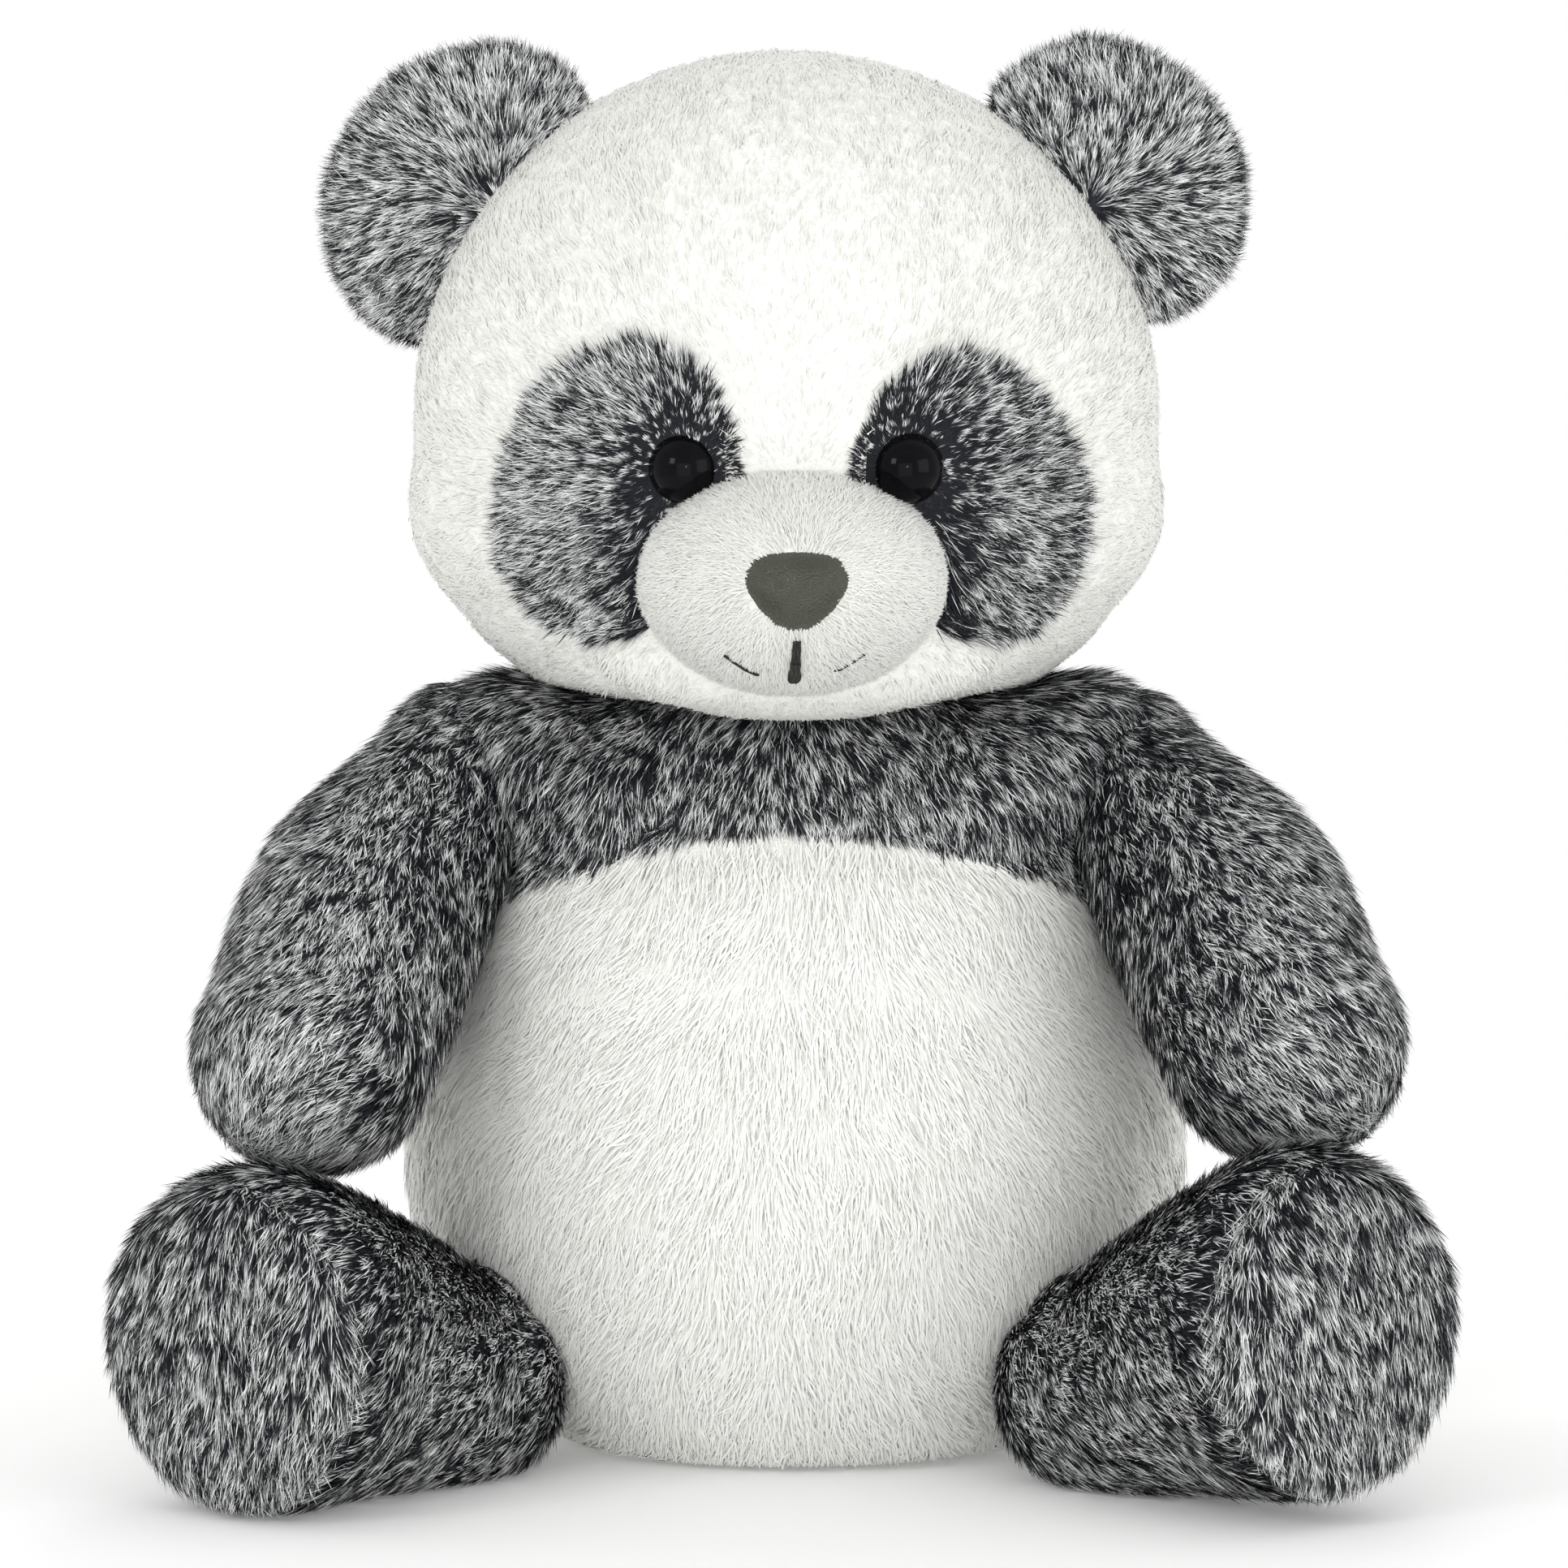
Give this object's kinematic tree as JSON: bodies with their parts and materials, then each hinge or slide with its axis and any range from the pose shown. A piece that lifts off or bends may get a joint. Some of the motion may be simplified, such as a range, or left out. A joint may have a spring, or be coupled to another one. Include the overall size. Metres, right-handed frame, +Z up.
{
  "type": "plush panda",
  "caption": "Seated plush panda with white and grey pile fabric, round ears, plastic eyes and nose, soft arms and splayed legs, filled with fibre and bean bags",
  "frame": {"origin": "centre of the flat seat under the trunk", "axes": "+Z up through the head, the panda faces -Y, +X is the viewer's right"},
  "size_m": [0.2233, 0.1639, 0.24],
  "materials": {
    "white_pile": "cream white pile fabric",
    "grey_pile": "frosted grey pile fabric, dark at the root",
    "filling": "white polyester fibre",
    "bean_bag_cloth": "plain woven bag with plastic beans",
    "eye_plastic": "black polished",
    "nose_plastic": "dark olive grey, fine grain",
    "washer_plastic": "natural",
    "dark_thread": "black embroidery thread",
    "white_thread": "white sewing thread",
    "label_tape": "white satin tape, blank"
  },
  "bodies": {
    "torso": {"back_yoke_panel": "grey_pile", "belly_panel": "white_pile", "care_label": "label_tape", "chest_yoke_panel": "grey_pile", "closing_stitches": "white_thread", "left_back_panel": "white_pile", "right_back_panel": "white_pile", "seat_panel": "white_pile", "tail_skin": "white_pile", "tail_wadding": "filling", "torso_bean_bag": "bean_bag_cloth", "torso_stuffing": "filling"},
    "head": {"head_gusset": "white_pile", "head_stuffing": "filling", "left_cheek_panel": "white_pile", "left_eye": "eye_plastic", "left_eye_patch": "grey_pile", "left_eye_washer": "washer_plastic", "left_head_back_panel": "white_pile", "left_smile_stitch": "dark_thread", "mouth_stitch": "dark_thread", "muzzle_panel": "white_pile", "nose": "nose_plastic", "nose_washer": "washer_plastic", "right_cheek_panel": "white_pile", "right_eye": "eye_plastic", "right_eye_patch": "grey_pile", "right_eye_washer": "washer_plastic", "right_head_back_panel": "white_pile", "right_smile_stitch": "dark_thread"},
    "left_ear": {"left_ear_back_panel": "grey_pile", "left_ear_front_panel": "grey_pile", "left_ear_wadding": "filling"},
    "right_ear": {"right_ear_back_panel": "grey_pile", "right_ear_front_panel": "grey_pile", "right_ear_wadding": "filling"},
    "left_arm": {"left_arm_inner_panel": "grey_pile", "left_arm_outer_panel": "grey_pile", "left_arm_stuffing": "filling"},
    "right_arm": {"right_arm_inner_panel": "grey_pile", "right_arm_outer_panel": "grey_pile", "right_arm_stuffing": "filling"},
    "left_leg": {"left_foot_bean_bag": "bean_bag_cloth", "left_leg_stuffing": "filling", "left_leg_under_panel": "grey_pile", "left_leg_upper_panel": "grey_pile", "left_sole_panel": "grey_pile"},
    "right_leg": {"right_foot_bean_bag": "bean_bag_cloth", "right_leg_stuffing": "filling", "right_leg_under_panel": "grey_pile", "right_leg_upper_panel": "grey_pile", "right_sole_panel": "grey_pile"}
  },
  "joints": [
    {"name": "neck_turn", "type": "hinge", "parent": "torso", "child": "head", "pos_m": [0, 0, 0.132], "axis": [0, 0, 1], "range_deg": [-25, 25], "stiffness_Nm_per_rad": 0.05},
    {"name": "left_shoulder", "type": "hinge", "parent": "torso", "child": "left_arm", "pos_m": [-0.0535, 0, 0.1135], "axis": [-0.5, 0.866, 0], "range_deg": [0, 60], "stiffness_Nm_per_rad": 0.02},
    {"name": "right_shoulder", "type": "hinge", "parent": "torso", "child": "right_arm", "pos_m": [0.0535, 0, 0.1135], "axis": [-0.5, -0.866, 0], "range_deg": [0, 60], "stiffness_Nm_per_rad": 0.02},
    {"name": "left_hip", "type": "hinge", "parent": "torso", "child": "left_leg", "pos_m": [-0.0537, -0.02729, 0.0285], "axis": [0, 0, -1], "range_deg": [-8, 6], "stiffness_Nm_per_rad": 0.03},
    {"name": "right_hip", "type": "hinge", "parent": "torso", "child": "right_leg", "pos_m": [0.04743, -0.03446, 0.0285], "axis": [0, 0, 1], "range_deg": [-8, 6], "stiffness_Nm_per_rad": 0.03},
    {"name": "left_ear_fold", "type": "hinge", "parent": "head", "child": "left_ear", "pos_m": [-0.05079, 0, 0.21356], "axis": [0.5736, 0, 0.8192], "range_deg": [-15, 15], "stiffness_Nm_per_rad": 0.02},
    {"name": "right_ear_fold", "type": "hinge", "parent": "head", "child": "right_ear", "pos_m": [0.05079, 0, 0.21356], "axis": [0.5736, 0, -0.8192], "range_deg": [-15, 15], "stiffness_Nm_per_rad": 0.02}
  ]
}
